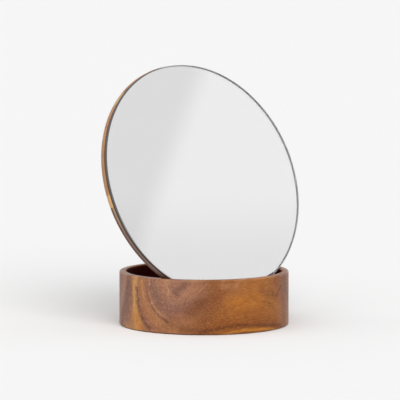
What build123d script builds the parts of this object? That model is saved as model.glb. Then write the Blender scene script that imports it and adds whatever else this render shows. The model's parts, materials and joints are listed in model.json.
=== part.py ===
"""Round table mirror that leans back in a slot across a turned wooden tray.

Millimetres, +Z up. The origin is on the table, under the centre of the tray, and the mirror faces -Y.
"""

import os
from math import cos, radians, sin, sqrt

from build123d import *

os.makedirs("parts", exist_ok=True)

# Tray: one block of wood, turned, with a shallow dish in its top
tray_diameter = 170.0
tray_height = 53.5
tray_wall = 7.2
dish_depth = 16.0
dish_cove = 6.0
rim_round = 1.4
lip_ease = 0.9
foot_ease = 1.2

# Felt pads, each let into a shallow pocket in the tray's underside
pad_diameter = 18.0
pad_thickness = 2.0
pad_stand = 0.5
pad_fit = 0.2
pad_edge_distance = 20.0
pad_names = ("rear_right_pad", "rear_left_pad", "front_left_pad", "front_right_pad")
pad_start_angle = 45.0

# Backing of the mirror: boards glued edge to edge and cut to one disc, with the heights of the two
# glue joints as shares of its diameter, counted from its foot
backing_diameter = 241.8
backing_thickness = 4.4
backing_ease = 0.5
joint_shares = (0.411, 0.836)

# Mirror glass with a polished bevel, and the silver and paint on its back
glass_setback = 0.55
glass_thickness = 3.0
glass_bevel = 1.1
glass_arris = 0.3
silver_thickness = 0.2

# Strips of double-sided tape between the painted back and the boards, spread across the glass by a
# share of its radius
tape_width = 20.0
tape_thickness = 0.5
tape_end_margin = 8.0
tape_spread_share = 0.54
tape_names = ("left_tape_strip", "middle_tape_strip", "right_tape_strip")

# Stance of the mirror: its lean, and where its foot stands in the dish
lean_angle = 19.75
slot_depth = 8.4
slot_forward = 35.4
slot_edge_clearance = 0.4
slot_face_clearance = 0.25

# How far a cut runs past the piece that it trims
cut_overrun = 5.0

# Sizes that follow from those above
tray_radius = tray_diameter / 2
dish_radius = tray_radius - tray_wall
rim_level = pad_stand + tray_height
dish_level = rim_level - dish_depth
pad_radius = pad_diameter / 2
pad_circle = tray_radius - pad_edge_distance
pad_turn = 360.0 / len(pad_names)
backing_radius = backing_diameter / 2
glass_radius = backing_radius - glass_setback
mirror_thickness = glass_thickness + silver_thickness + tape_thickness + backing_thickness
lower_joint, upper_joint = [share * backing_diameter - backing_radius for share in joint_shares]

# Planes of the mirror, stacked along its normal from the back of the boards to the front.
# On each of them x runs along +X and y runs up the leaning mirror.
lean_sine = sin(radians(lean_angle))
lean_cosine = cos(radians(lean_angle))
back_plane = Plane(
    origin=(
        0,
        backing_radius * lean_sine - slot_forward,
        dish_level - slot_depth + backing_radius * lean_cosine,
    ),
    x_dir=(1, 0, 0),
    z_dir=(0, -lean_cosine, lean_sine),
)
tape_plane = back_plane.offset(backing_thickness)
silver_plane = tape_plane.offset(tape_thickness)
glass_plane = silver_plane.offset(silver_thickness)
slot_plane = back_plane.offset(-slot_face_clearance)
mirror_axis = Axis(back_plane.origin, back_plane.z_dir)


# Tray: turned profile, then the leaning slot, whose round bottom is that of the mirror's own edge,
# so that it bites into the wall on both sides, and the pockets for the pads
with BuildPart() as tray:
    with BuildSketch(Plane.XZ) as section:
        with BuildLine():
            Polyline(
                (0, pad_stand),
                (tray_radius, pad_stand),
                (tray_radius, rim_level),
                (dish_radius, rim_level),
                (dish_radius, dish_level),
                (0, dish_level),
                close=True,
            )
        make_face()
        fillet(section.vertices().group_by(Axis.X)[1].sort_by(Axis.Y)[0], dish_cove)
        chamfer(section.vertices().group_by(Axis.Y)[-1].sort_by(Axis.X)[0], lip_ease)
        fillet(section.vertices().group_by(Axis.Y)[-1].sort_by(Axis.X)[-1], rim_round)
        chamfer(section.vertices().group_by(Axis.Y)[0].sort_by(Axis.X)[-1], foot_ease)
    revolve(axis=Axis.Z)
    with BuildSketch(slot_plane):
        Circle(backing_radius + slot_edge_clearance)
    extrude(amount=mirror_thickness + 2 * slot_face_clearance, mode=Mode.SUBTRACT)
    with BuildSketch(Plane.XY.offset(pad_stand)):
        with PolarLocations(pad_circle, len(pad_names), start_angle=pad_start_angle):
            Circle(pad_radius + pad_fit)
    extrude(amount=pad_thickness - pad_stand, mode=Mode.SUBTRACT)
tray.part.label = "tray"
export_step(tray.part, "parts/tray.step")

# Felt pads, standing a little proud of the tray's underside
for number, pad_name in enumerate(pad_names):
    with BuildPart() as pad:
        with BuildSketch(Plane.XY):
            with PolarLocations(pad_circle, 1, start_angle=pad_start_angle + number * pad_turn):
                Circle(pad_radius)
        extrude(amount=pad_thickness)
    pad.part.label = pad_name
    export_step(pad.part, f"parts/{pad_name}.step")

# Mirror glass: polished bevel round the front, fine arris round the back
with BuildPart() as glass:
    with BuildSketch(glass_plane):
        Circle(glass_radius)
    extrude(amount=glass_thickness)
    chamfer(glass.faces().sort_by(mirror_axis)[-1].edges(), glass_bevel)
    chamfer(glass.faces().sort_by(mirror_axis)[0].edges(), glass_arris)
glass.part.label = "mirror_glass"
export_step(glass.part, "parts/mirror_glass.step")

# Silver and its protective paint, over the whole flat of the glass's back
with BuildPart() as silver:
    with BuildSketch(silver_plane):
        Circle(glass_radius - glass_arris)
    extrude(amount=silver_thickness)
silver.part.label = "silvering"
export_step(silver.part, "parts/silvering.step")

# Tape strips, upright, so that each one crosses the joints between the boards
for number, tape_name in enumerate(tape_names):
    strip_place = (number - (len(tape_names) - 1) / 2) * tape_spread_share * glass_radius
    strip_edge = abs(strip_place) + tape_width / 2
    strip_length = 2 * sqrt((glass_radius - tape_end_margin) ** 2 - strip_edge**2)
    with BuildPart() as strip:
        with BuildSketch(tape_plane):
            with Locations((strip_place, 0)):
                Rectangle(tape_width, strip_length)
        extrude(amount=tape_thickness)
    strip.part.label = tape_name
    export_step(strip.part, f"parts/{tape_name}.step")

# Backing boards: slices of one disc, eased along its rim and square at the glue joints
board_limits = {
    "lower_backing_board": (-backing_radius - cut_overrun, lower_joint),
    "middle_backing_board": (lower_joint, upper_joint),
    "upper_backing_board": (upper_joint, backing_radius + cut_overrun),
}
for board_name, (board_foot, board_head) in board_limits.items():
    with BuildPart() as board:
        with BuildSketch(back_plane):
            Circle(backing_radius)
        extrude(amount=backing_thickness)
        chamfer(board.edges().filter_by(GeomType.CIRCLE), backing_ease)
        with BuildSketch(back_plane):
            with Locations((0, (board_foot + board_head) / 2)):
                Rectangle(backing_diameter + 2 * cut_overrun, board_head - board_foot)
        extrude(amount=backing_thickness, mode=Mode.INTERSECT)
    board.part.label = board_name
    export_step(board.part, f"parts/{board_name}.step")
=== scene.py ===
"""Looks of a round table mirror that leans back in a slot across a turned wooden tray.

Metres, +Z up. The origin is on the table under the centre of the tray, and the mirror faces -Y.
Finishes are written in millimetres, because grain and pores are easier to read at that scale.
"""

import json
import logging
import math
from collections.abc import Callable, Iterator, Mapping, Sequence
from contextlib import contextmanager
from dataclasses import dataclass
from enum import Enum
from functools import reduce
from typing import Union

import bmesh
import bpy
from mathutils import Color, Matrix, Vector


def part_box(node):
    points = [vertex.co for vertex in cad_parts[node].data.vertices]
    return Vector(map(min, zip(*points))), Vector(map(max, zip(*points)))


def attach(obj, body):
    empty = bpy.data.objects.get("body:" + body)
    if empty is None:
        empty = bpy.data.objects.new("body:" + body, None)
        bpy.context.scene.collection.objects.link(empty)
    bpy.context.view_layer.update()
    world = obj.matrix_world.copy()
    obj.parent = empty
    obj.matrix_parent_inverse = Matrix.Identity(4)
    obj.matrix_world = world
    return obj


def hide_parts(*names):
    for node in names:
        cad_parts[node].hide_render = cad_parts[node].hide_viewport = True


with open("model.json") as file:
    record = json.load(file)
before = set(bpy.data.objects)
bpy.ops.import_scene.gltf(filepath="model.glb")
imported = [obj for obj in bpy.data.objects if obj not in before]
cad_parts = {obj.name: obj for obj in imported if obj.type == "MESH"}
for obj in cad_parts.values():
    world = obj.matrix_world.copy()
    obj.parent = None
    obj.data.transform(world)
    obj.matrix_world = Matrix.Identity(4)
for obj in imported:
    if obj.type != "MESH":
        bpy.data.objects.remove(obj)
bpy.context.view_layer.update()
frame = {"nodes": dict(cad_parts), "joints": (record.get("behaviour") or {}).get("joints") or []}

log = logging.getLogger("table_mirror")

MM = 0.001
PER_METRE = 1000.0
SLACK = 0.05 * MM
PADS = ("rear_right_pad", "rear_left_pad", "front_left_pad", "front_right_pad")

# Directions of the part's own axes, and degrees from straight down to level
RIGHT = (1.0, 0.0, 0.0)
UP = (0.0, 0.0, 1.0)
LEVEL = 90.0
# Brightest tone of a screen
FULL_TONE = 255.0
# Middle of noise, and where most of its values lie
MID_NOISE = 0.5
NOISE_REACH = (0.3, 0.7)
# Sockets of the Mix node that belong to colours
MIX_SHARE, MIX_FIRST, MIX_SECOND, MIX_RESULT = 0, 6, 7, 2
# Kinds of ray that reach the eye
SEEN_RAYS = ("Glossy", "Transmission", "Camera")
# Least part of a normal along the axis that a face looks along, and most along one that it doesn't
FACING, SIDEWAYS = 0.9, 0.1
# Facets of a rounding that is a flat chamfer
CHAMFER = 1

Colour = tuple[float, float, float, float]
Point = tuple[float, float, float]
Reach = tuple[float, float]
Stops = tuple[tuple[float, Colour], ...]
Tree = bpy.types.NodeTree
Term = Union["Value", float, Sequence[float]]
Inputs = Mapping[str | int, Term]


class Body(Enum):
    """The two bodies that move against each other."""

    TRAY = "tray"
    MIRROR = "mirror"


class Slot(Enum):
    """Material slots of the record."""

    TRAY_WOOD = "tray_wood"
    BACKING_WOOD = "backing_wood"
    GLASS = "glass"
    SILVER = "silver"
    TAPE = "tape"
    FELT = "felt"


class Pick(Enum):
    """What is picked in edit mode."""

    EDGES = "EDGE"
    FACES = "FACE"


class Axis(Enum):
    """Axes of the mirror's own frame."""

    RIGHT = 0
    UP = 1
    OUT = 2


def tone(red: float, green: float, blue: float) -> Colour:
    """Colour of a tone that is written as it looks on a screen, each part from 0 to 255."""
    shown = Color((red / FULL_TONE, green / FULL_TONE, blue / FULL_TONE))
    return (*shown.from_srgb_to_scene_linear(), 1.0)


def grey(level: float) -> Colour:
    """Linear grey of one level."""
    return (level, level, level, 1.0)


def even(scale: float) -> Point:
    """The same scale along each axis."""
    return (scale, scale, scale)


def shifted(reach: Reach, base: float) -> Reach:
    """Reach that is counted from a base."""
    return (base + reach[0], base + reach[1])


@dataclass(frozen=True)
class Cloud:
    """Cloudy noise: clouds per millimetre along each axis, finer layers, their weight and a twist."""

    scale: Point
    layers: float = 2.0
    weight: float = 0.5
    twist: float = 0.0


@dataclass(frozen=True)
class Relief:
    """Fine relief: the share of it that shows, and its depth in metres."""

    share: float
    depth: float


class Value:
    """Output of a node. Each step adds the node that it needs, and gives the output of that one."""

    def __init__(self, node: bpy.types.Node, output: str | int = 0) -> None:
        """Takes one output of a node, by its name or number."""
        self.tree = node.id_data
        self.socket = node.outputs[output]

    def then(self, kind: str, inputs: Inputs, output: str | int = 0, **settings: object) -> "Value":
        """Output of a new node in the same tree."""
        return Value(add_node(self.tree, kind, inputs, **settings), output)

    def math(self, operation: str, *terms: Term) -> "Value":
        """Math node of this value and further terms."""
        return self.then("Math", dict(enumerate((self, *terms))), operation=operation)

    def vector(self, operation: str, *terms: Term, output: str = "Vector") -> "Value":
        """Vector Math node of this value and further terms."""
        return self.then("VectorMath", dict(enumerate((self, *terms))), output, operation=operation)

    def __add__(self, other: Term) -> "Value":
        """Sum."""
        return self.math("ADD", other)

    def __sub__(self, other: Term) -> "Value":
        """Difference."""
        return self.math("SUBTRACT", other)

    def __mul__(self, other: Term) -> "Value":
        """Product."""
        return self.math("MULTIPLY", other)

    def scaled(self, factor: Term, base: Term) -> "Value":
        """Product with a factor, on top of a base."""
        return self.math("MULTIPLY_ADD", factor, base)

    def most(self, other: Term) -> "Value":
        """The higher of two values."""
        return self.math("MAXIMUM", other)

    def least(self, other: Term) -> "Value":
        """The lower of two values."""
        return self.math("MINIMUM", other)

    def hypot(self, other: "Value") -> "Value":
        """Distance that two distances at a right angle make."""
        return (self * self + other * other).math("SQRT")

    def along(self, direction: Sequence[float]) -> "Value":
        """Place of a point along a direction."""
        return self.vector("DOT_PRODUCT", tuple(direction), output="Value")

    def stretch(self, factors: Point) -> "Value":
        """Vector with each axis times its own factor."""
        return self.vector("MULTIPLY", factors)

    def parts(self) -> list["Value"]:
        """The three parts of a vector."""
        node = add_node(self.tree, "SeparateXYZ", {"Vector": self})
        return [Value(node, axis) for axis in "XYZ"]

    def rise(self, low: float, high: float, start: float = 0.0, end: float = 1.0) -> "Value":
        """Smooth step from one value to another.

        Args:
            low: Where the step starts; above high, the step falls.
            high: Where the step ends.
            start: Value before the step.
            end: Value after it.

        Returns:
            The stepped value.
        """
        if low > high:
            low, high, start, end = high, low, end, start
        inputs = {"Value": self, "From Min": low, "From Max": high, "To Min": start, "To Max": end}
        return self.then("MapRange", inputs, interpolation_type="SMOOTHSTEP")

    def ramp(self, stops: Stops, reach: float) -> "Value":
        """Colour by place.

        Args:
            stops: Places from 0 to the reach, each with its colour.
            reach: Place of the ramp's end.

        Returns:
            The colour.
        """
        node = add_node(self.tree, "ValToRGB", {"Fac": self.math("DIVIDE", reach)})
        band = node.color_ramp
        band.interpolation = "CARDINAL"
        while len(band.elements) < len(stops):
            band.elements.new(1.0)
        for element, (stop, colour) in zip(band.elements, stops):
            element.position = stop / reach
            element.color = colour
        return Value(node)

    def clouds(self, cloud: Cloud, output: str | int = 0) -> "Value":
        """Noise at coordinates that are stretched already."""
        inputs = {"Vector": self, "Scale": 1.0, "Detail": cloud.layers, "Roughness": cloud.weight}
        return self.then("TexNoise", {**inputs, "Distortion": cloud.twist}, output)

    def noise(self, cloud: Cloud) -> "Value":
        """Noise at a place in millimetres."""
        return self.stretch(cloud.scale).clouds(cloud)

    def ring_noise(self, cloud: Cloud) -> "Value":
        """Noise that changes from ring to ring only, by the first scale of its cloud."""
        return self.then("CombineXYZ", {"X": self * cloud.scale[0]}).clouds(cloud)

    def tremble(self, cloud: Cloud, reach: float) -> "Value":
        """Place shaken by noise, by a reach for its full change, so that what is drawn there wavers."""
        shake = self.stretch(cloud.scale).clouds(cloud, "Color").vector("SUBTRACT", even(MID_NOISE))
        return shake.vector("MULTIPLY_ADD", even(reach), self)

    def bump(self, relief: Relief) -> "Value":
        """Normal that this height, from 0 to 1, gives."""
        return self.then("Bump", {"Height": self, "Strength": relief.share, "Distance": relief.depth})


def add_node(tree: Tree, kind: str, inputs: Inputs, **settings: object) -> bpy.types.Node:
    """Adds a node.

    Args:
        tree: Node tree of a material or of the world.
        kind: Blender's name of the node's type, after its common start.
        inputs: Values to link and constants to set, by the input's name or number.
        **settings: The node's own properties.

    Returns:
        The node.
    """
    made = tree.nodes.new(f"ShaderNode{kind}")
    for name, setting in settings.items():
        setattr(made, name, setting)
    for name, term in inputs.items():
        if isinstance(term, Value):
            tree.links.new(term.socket, made.inputs[name])
        else:
            made.inputs[name].default_value = term
    return made


def mix(share: Term, first: Term, second: Term, blend: str = "MIX") -> Value:
    """Mixes two colours. At least one of the terms is a value.

    Args:
        share: Share of the second colour.
        first: First colour.
        second: Second colour.
        blend: Blender's name of the blend.

    Returns:
        The mixed colour.
    """
    inputs = {MIX_SHARE: share, MIX_FIRST: first, MIX_SECOND: second}
    value = next(term for term in inputs.values() if isinstance(term, Value))
    return value.then("Mix", inputs, MIX_RESULT, data_type="RGBA", blend_type=blend)


def coordinates(tree: Tree, kind: str) -> Value:
    """Coordinates of one kind, from a new node."""
    return Value(add_node(tree, "TexCoord", {}), kind)


def millimetres(tree: Tree) -> Value:
    """Object coordinates in millimetres."""
    return coordinates(tree, "Object").stretch(even(PER_METRE))


def rightward(tree: Tree) -> Value:
    """How far the surface faces to the right, from -1 to 1."""
    return coordinates(tree, "Normal").along(RIGHT)


def seen_or_mirrored(tree: Tree) -> Value:
    """1 for a ray that the eye sees, straight or in glass and gloss, and 0 for one that only lights."""
    path = add_node(tree, "LightPath", {})
    return reduce(Value.most, [Value(path, f"Is {ray} Ray") for ray in SEEN_RAYS])


@dataclass(frozen=True)
class Veil:
    """Thin coat of a colour, which covers its share where a value has passed its reach."""

    colour: Colour
    share: float
    reach: Reach

    def over(self, term: Value, colour: Term) -> Value:
        """Colour so far under the coat, where the term tells how much of it there is."""
        return mix(term.rise(*self.reach, 0.0, self.share), colour, self.colour)


@dataclass(frozen=True)
class RingLine:
    """Thin line that follows one growth ring where the fibre ends at the surface.

    Lengths are in millimetres.
    """

    ring: float
    half_width: float
    colour: Colour
    strength: float
    fade: Reach = (0.6, 0.85)
    top: Reach = (90.0, 80.0)

    def over(self, rings: Value, end_on: Value, height: Value, colour: Value) -> Value:
        """Draws the line.

        Args:
            rings: Ring distance.
            end_on: How squarely the surface cuts the fibre, from 0 to 1.
            height: Height above the table.
            colour: Colour so far.

        Returns:
            The colour with the line.
        """
        away = (rings - self.ring).math("ABSOLUTE")
        share = away.rise(self.half_width, 0.0) * end_on.rise(*self.fade)
        return mix(share * height.rise(*self.top, 0.0, self.strength), colour, self.colour)


@dataclass(frozen=True)
class Streak:
    """Soft streak on the tray's side, along a course of places.

    A place is a turn round the tray, in degrees from the front to the right, and a height. Heights and
    the reach are in millimetres.
    """

    course: tuple[tuple[float, float], ...]
    reach: float
    colour: Colour
    strength: float

    def points(self, radius: float) -> list[Vector]:
        """Places of the course on a tray of a radius."""
        turns = [(math.radians(turn), height) for turn, height in self.course]
        return [Vector((radius * math.sin(turn), -radius * math.cos(turn), up)) for turn, up in turns]

    def away(self, place: Value, start: Vector, end: Vector) -> Value:
        """Distance from one leg of the course.

        Args:
            place: Object coordinates in millimetres.
            start: Where the leg starts.
            end: Where it ends.

        Returns:
            The distance.
        """
        leg = end - start
        run = {"Value": place.along(leg), "From Min": start.dot(leg), "From Max": end.dot(leg)}
        nearest = place.then("MapRange", run).vector("MULTIPLY_ADD", tuple(leg), tuple(start))
        return place.vector("DISTANCE", nearest, output="Value")

    def over(self, place: Value, radius: float, colour: Value) -> Value:
        """Draws the streak.

        Args:
            place: Object coordinates in millimetres.
            radius: The tray's radius.
            colour: Colour so far.

        Returns:
            The colour with the streak.
        """
        points = self.points(radius)
        nearest = reduce(Value.least, [self.away(place, *leg) for leg in zip(points, points[1:])])
        return mix(nearest.rise(self.reach, 0.0, 0.0, self.strength), colour, self.colour)


@dataclass(frozen=True, kw_only=True)
class Finish:
    """A finish made of nodes. Its lengths are in millimetres."""

    name: str

    def material(self) -> bpy.types.Material:
        """Writes the finish.

        Returns:
            The new material.
        """
        made = bpy.data.materials.new(self.name)
        made.use_nodes = True
        tree = made.node_tree
        tree.nodes.clear()
        add_node(tree, "OutputMaterial", {"Surface": self.surface(tree), **self.inside(tree)})
        return made

    def surface(self, tree: Tree) -> Value:
        """Shader of the surface."""
        raise NotImplementedError

    def inside(self, tree: Tree) -> dict[str, Value]:
        """Shader of what lies under the surface, by its name at the output, if that shows."""
        return {}


@dataclass(frozen=True, kw_only=True)
class OiledWood(Finish):
    """Oiled wood with its fibre along X: what the tray and the boards have in common."""

    fibre: Cloud
    rough: Reach
    pores: Cloud
    pore_reach: Reach
    pore_share: float
    pore_tone: Colour
    gloss: Colour = tone(150, 100, 70)
    fibre_relief: float = 0.4
    relief: Relief = Relief(0.35, 0.12 * MM)

    def oiled(self, colour: Value, rough: Value, fibre: Value, pores: Value) -> Value:
        """Ends in the oiled surface.

        Args:
            colour: Its colour.
            rough: Its roughness.
            fibre: Noise of the fibre, which stands out a little.
            pores: 1 in a pore, which lies deeper, else 0.

        Returns:
            The shader.
        """
        normal = (fibre * self.fibre_relief - pores).bump(self.relief)
        inputs = {"Base Color": colour, "Roughness": rough, "Specular Tint": self.gloss, "Normal": normal}
        return colour.then("BsdfPrincipled", inputs)


# Tones of the tray's lines and streaks
BARK = tone(84, 45, 32)
PLUM = tone(76, 52, 49)
MAUVE = tone(112, 80, 74)
UMBER = tone(111, 66, 42)
SAND = tone(192, 140, 102)
STRAW = tone(222, 168, 102)
AMBER = tone(206, 128, 46)


@dataclass(frozen=True, kw_only=True)
class TurnedHardwood(OiledWood):
    """Wood of the tray: one block with its pith near the front rim."""

    radius: float
    rim_level: float
    dish_radius: float
    dish_level: float
    name: str = "oiled_figured_hardwood"

    # Growth rings: place of the pith, and how the rings bend and waver away from it
    pith_y: float = -53.0
    pith_z: float = 51.0
    pith_ease: float = 1.0
    heart_shift: float = 9.2
    heart_reach: Reach = (34.0, 50.0)
    flare_share: float = 0.3
    flare_reach: Reach = (50.0, 75.0)
    outer_flare_share: float = 0.35
    outer_flare_reach: Reach = (71.0, 95.0)
    drift: float = 0.05
    drift_start: float = -60.0
    slow_cloud: Cloud = Cloud((0.012, 0.03, 0.03))
    slow_warp: float = 2.2
    quick_cloud: Cloud = Cloud((0.025, 0.13, 0.13))
    quick_warp: float = 2.0
    tremble: Cloud = Cloud((0.06, 0.2, 0.2))
    tremble_reach: float = 2.6
    years: Cloud = Cloud((0.55, 0.0, 0.0), 3.0, 0.6)
    growth: Veil = Veil(tone(100, 60, 42), 0.3, (0.45, 0.72))

    # End grain: how far the surface turns to the left or right, and its flecks
    left_reach: Reach = (0.52, 0.84)
    right_reach: Reach = (0.28, 0.62)
    flecks: Cloud = Cloud((0.1, 0.45, 0.45))
    fleck_share: float = 0.17
    fleck_facing: Reach = (0.7, 0.97)
    pale_fleck: Colour = tone(226, 184, 150)
    pale_fleck_reach: Reach = (0.53, 0.68)
    dark_fleck: Colour = tone(84, 56, 50)
    dark_fleck_reach: Reach = (0.47, 0.32)

    # Fibre, and pores that come in patches, most of them near the heart
    fibre: Cloud = Cloud((0.07, 1.0, 1.0), 2.0, 0.6)
    dark_fibre: Veil = Veil(tone(92, 52, 30), 0.3, (0.5, 0.7))
    pale_fibre: Veil = Veil(tone(214, 160, 106), 0.2, (0.48, 0.3))
    rough: Reach = (0.46, 0.58)
    pores: Cloud = Cloud((0.13, 0.95, 0.95), 1.0)
    pore_reach: Reach = (0.6, 0.68)
    pore_share: float = 0.6
    pore_tone: Colour = tone(72, 40, 32)
    pore_rough: float = 0.15
    patches: Cloud = Cloud((0.03, 0.09, 0.09), 1.0)
    patch_reach: Reach = (0.36, 0.58)
    patch_rings: Reach = (30.0, 16.0)
    patch_shares: Reach = (0.3, 1.0)

    # Painted shade that darkens and reddens the dish, which is also matt; polish on the rim and wear along
    # its outer edge
    dish_shade_tone: Colour = tone(122, 36, 28)
    dish_shade_share: float = 0.95
    dish_side_reach: Reach = (1.3, 0.3)
    dish_floor_reach: Reach = (-12.0, -9.0)
    dish_shade_top: Reach = (-0.2, -2.5)
    dish_rough: float = 0.5
    rim_polish: float = 0.15
    polish_reach: Reach = (-1.4, -0.4)
    worn_tone: Colour = tone(206, 160, 118)
    worn_share: float = 0.24
    wear_reach: Reach = (2.4, 0.5)
    wear: Cloud = Cloud((0.09, 0.09, 0.3), 3.0)
    worn_patch_reach: Reach = (0.38, 0.62)

    # Tones from the pith outward, where the surface cuts the fibre and where it runs along it
    ring_reach: float = 150.0
    end_tones: Stops = (
        (0.0, tone(152, 108, 88)),
        (7.0, tone(168, 121, 96)),
        (12.0, tone(163, 116, 91)),
        (18.0, tone(150, 108, 88)),
        (23.0, tone(140, 100, 85)),
        (26.0, tone(144, 102, 85)),
        (31.0, tone(162, 112, 88)),
        (36.0, tone(164, 112, 82)),
        (42.0, tone(170, 118, 84)),
        (48.0, tone(171, 117, 80)),
        (52.0, tone(162, 108, 78)),
        (54.6, tone(154, 104, 76)),
        (56.0, tone(180, 126, 80)),
        (58.4, tone(206, 152, 92)),
        (60.4, tone(178, 128, 84)),
        (63.0, tone(156, 110, 84)),
        (68.0, tone(126, 87, 75)),
        (71.0, tone(134, 94, 80)),
        (74.0, tone(162, 119, 98)),
        (80.0, tone(158, 116, 96)),
        (87.0, tone(138, 101, 88)),
        (97.0, tone(160, 114, 88)),
        (112.0, tone(140, 98, 78)),
        (126.0, tone(166, 116, 82)),
        (150.0, tone(146, 100, 76)),
    )
    long_tones: Stops = (
        (0.0, tone(134, 92, 74)),
        (4.5, tone(134, 90, 70)),
        (10.0, tone(148, 100, 72)),
        (15.0, tone(150, 100, 70)),
        (20.0, tone(142, 92, 62)),
        (25.5, tone(136, 87, 55)),
        (31.5, tone(138, 83, 50)),
        (35.0, tone(150, 94, 54)),
        (38.0, tone(158, 99, 52)),
        (41.0, tone(160, 99, 48)),
        (43.5, tone(154, 93, 45)),
        (46.0, tone(144, 85, 42)),
        (50.0, tone(140, 84, 42)),
        (55.0, tone(152, 94, 46)),
        (63.0, tone(134, 80, 46)),
        (71.0, tone(156, 98, 52)),
        (81.0, tone(126, 74, 42)),
        (95.0, tone(160, 102, 54)),
        (109.0, tone(130, 78, 44)),
        (125.0, tone(154, 96, 50)),
        (147.0, tone(136, 84, 46)),
    )
    round_lines: tuple[RingLine, ...] = (
        RingLine(38.8, 2.2, tone(206, 154, 104), 0.6, fade=(0.885, 0.92), top=(48.0, 20.0)),
        RingLine(41.0, 1.7, tone(112, 74, 68), 0.65, fade=(0.885, 0.92), top=(66.0, 28.0)),
    )
    bent_lines: tuple[RingLine, ...] = (
        RingLine(27.5, 1.6, tone(112, 82, 74), 0.4, fade=(0.7, 0.86)),
    )
    streaks: tuple[Streak, ...] = (
        # Soft clouds of the front, from its left to its right
        Streak(((-61.0, 45.0), (-57.0, 39.0)), 6.0, MAUVE, 0.5),
        Streak(((-58.0, 41.0), (-51.0, 50.5)), 7.0, MAUVE, 0.58),
        Streak(((-61.0, 14.0), (-38.6, 22.0)), 16.0, UMBER, 0.36),
        Streak(((-66.5, 8.0), (-47.0, 7.0)), 7.0, UMBER, 0.25),
        Streak(((-54.0, 5.0), (-37.0, 4.5)), 7.0, UMBER, 0.7),
        Streak(((-48.5, 23.0), (-41.0, 30.0)), 10.0, UMBER, 0.6),
        Streak(((-43.0, 31.0), (-32.0, 36.5)), 8.0, UMBER, 0.42),
        Streak(((-42.0, 10.0), (-25.0, 14.0)), 11.0, UMBER, 0.4),
        Streak(((-40.0, 15.0), (-31.0, 25.0), (-22.0, 30.0)), 9.0, UMBER, 0.42),
        Streak(((-27.0, 48.0), (-17.0, 48.0)), 6.0, SAND, 0.3),
        Streak(((-22.0, 31.0), (1.0, 33.0)), 10.0, AMBER, 0.3),
        Streak(((3.0, 40.5), (18.0, 33.5)), 7.0, UMBER, 0.48),
        Streak(((30.4, 5.0), (30.4, 50.0)), 16.0, tone(100, 66, 52), 0.5),
        # Short lines near the rim
        Streak(((-46.0, 43.0), (-41.0, 50.0)), 1.1, SAND, 0.3),
        Streak(((-42.5, 42.6), (-37.3, 50.5)), 1.3, SAND, 0.4),
        Streak(((25.4, 44.4), (17.0, 33.3)), 1.8, BARK, 0.6),
        # Golden vein of the left end, and the dark lines on both sides of it
        Streak(((-99.0, 44.0), (-96.5, 31.0), (-97.5, 26.0)), 6.0, MAUVE, 0.55),
        Streak(((-92.4, 40.0), (-92.8, 24.0)), 1.1, STRAW, 0.4),
        Streak(((-92.7, 15.0), (-87.6, 5.0)), 8.0, AMBER, 0.55),
        Streak(((-90.4, 48.0), (-90.1, 43.0)), 1.2, PLUM, 0.45),
        Streak(((-90.1, 43.0), (-88.0, 27.0)), 1.5, PLUM, 0.8),
        Streak(((-89.6, 29.0), (-87.5, 16.0)), 2.8, UMBER, 0.65),
        Streak(((-88.0, 27.0), (-85.0, 14.5)), 1.5, PLUM, 0.65),
        Streak(((-85.0, 14.5), (-82.0, 9.0), (-77.7, 5.0)), 3.8, tone(100, 64, 60), 0.75),
        Streak(((-91.1, 56.0), (-91.1, 46.5)), 4.5, STRAW, 0.75),
        # Thin upright lines beside it, under the rim
        Streak(((-85.0, 51.0), (-84.7, 43.0), (-83.5, 34.0)), 2.2, tone(196, 140, 84), 0.55),
        Streak(((-80.5, 53.0), (-79.8, 42.0), (-77.5, 31.0)), 1.5, tone(118, 78, 72), 0.45),
        Streak(((-78.2, 53.5), (-78.0, 47.5)), 1.4, STRAW, 0.5),
        Streak(((-73.5, 47.0), (-71.5, 36.0)), 4.0, tone(128, 104, 88), 0.5),
        Streak(((-71.5, 53.0), (-71.4, 47.5)), 1.5, SAND, 0.4),
        Streak(((-63.4, 45.0), (-63.6, 37.0)), 1.4, tone(204, 152, 104), 0.5),
        # Dark end of the innermost ring, with a pale line in it
        Streak(((-72.2, 27.0), (-63.4, 17.5)), 6.0, MAUVE, 0.5),
        Streak(((-67.4, 14.6), (-63.0, 11.3)), 2.0, PLUM, 0.6),
        Streak(((-68.0, 22.5), (-63.3, 15.5)), 1.4, tone(170, 142, 128), 0.28),
        # Dark line that lies low across the front, and the golden wood under it
        Streak(
            (
                (-42.0, 2.6), (-34.0, 5.2), (-25.4, 7.8), (-15.0, 9.2),
                (-2.4, 8.0), (5.5, 7.0), (13.6, 5.6), (24.3, 3.8),
            ),
            2.8, BARK, 0.6,
        ),
        Streak(
            (
                (-29.6, -1.0), (-20.7, 2.2), (-12.2, 3.6), (-4.0, 3.8),
                (4.0, 3.2), (12.2, 1.8), (20.7, -1.2),
            ),
            2.5, tone(210, 140, 56), 0.6,
        ),
    )

    def ring_distance(self, place: Value) -> tuple[Value, Value]:
        """Distance from the pith.

        Args:
            place: Object coordinates in millimetres.

        Returns:
            Distance about the round pith, and bent as the growth rings of this block are.
        """
        along, across, height = place.parts()
        aside, below = across - self.pith_y, height - self.pith_z
        distance = aside.hypot(below)
        slant = aside.math("DIVIDE", distance + self.pith_ease)
        heart = slant * distance.rise(*self.heart_reach, self.heart_shift, 0.0)
        inner = distance.rise(*self.flare_reach, 0.0, self.flare_share)
        outer = distance.rise(*self.outer_flare_reach, 0.0, self.outer_flare_share)
        flare = below * (inner + outer)
        run = (along - self.drift_start).most(0.0)
        slow = place.noise(self.slow_cloud)
        quick = place.noise(self.quick_cloud)
        warp = (quick - MID_NOISE).scaled(self.quick_warp, (slow - MID_NOISE) * self.slow_warp)
        bent = run.scaled(-self.drift, distance - heart + flare)
        return distance + warp, bent + warp

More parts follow.
